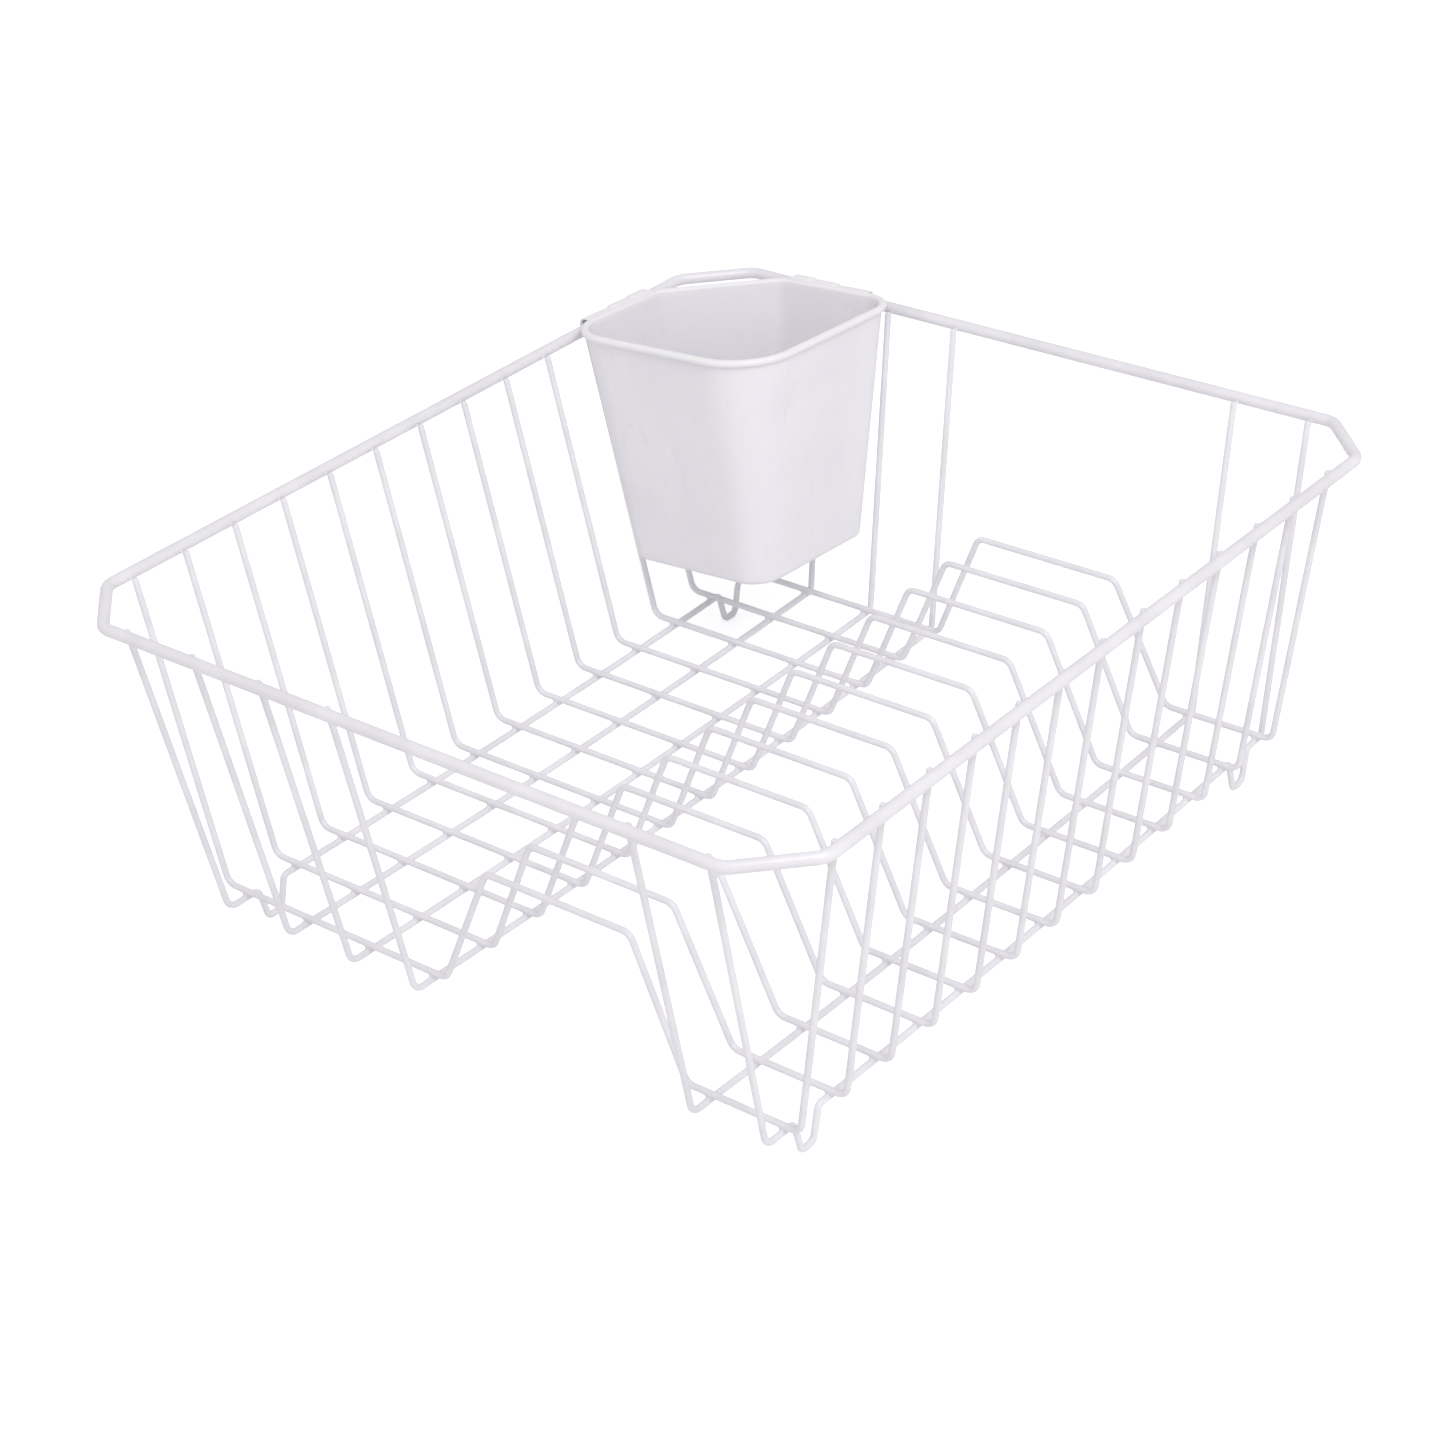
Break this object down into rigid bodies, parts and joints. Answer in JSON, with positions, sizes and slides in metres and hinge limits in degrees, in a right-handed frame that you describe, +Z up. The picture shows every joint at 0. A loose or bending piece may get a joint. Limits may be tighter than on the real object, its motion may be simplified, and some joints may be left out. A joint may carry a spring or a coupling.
{
  "type": "dish drying rack",
  "caption": "Rectangular coated-wire dish rack with humped plate wires, an open bay, foot loops and a plastic cutlery cup that hooks over the rim at one corner.",
  "frame": {"origin": "middle of the outer box on the ground, level with the undersides of the foot loops", "axes": "+X along the rack, across the plate wires; +Y towards the open bay; +Z up"},
  "size_m": [0.3648, 0.3186, 0.1471],
  "materials": {
    "coated_wire": "white plastic coating over steel wire, satin gloss",
    "cup_plastic": "moulded white plastic, semi-matt"
  },
  "bodies": {
    "rack": {"rim_wire": "coated_wire", "plate_wire_01": "coated_wire", "plate_wire_02": "coated_wire", "plate_wire_03": "coated_wire", "plate_wire_04": "coated_wire", "plate_wire_05": "coated_wire", "plate_wire_06": "coated_wire", "plate_wire_07": "coated_wire", "plate_wire_08": "coated_wire", "plate_wire_09": "coated_wire", "plate_wire_10": "coated_wire", "plate_wire_11": "coated_wire", "plate_wire_12": "coated_wire", "plate_wire_13": "coated_wire", "long_wire_1": "coated_wire", "long_wire_2": "coated_wire", "long_wire_3": "coated_wire", "long_wire_4": "coated_wire", "long_wire_5": "coated_wire", "long_wire_6": "coated_wire"},
    "cup": {"cutlery_cup": "cup_plastic"}
  },
  "joints": [
    {"name": "cup_lift", "type": "slide", "parent": "rack", "child": "cup", "axis": [0, 0, 1], "range_m": [0, 0.125]}
  ]
}
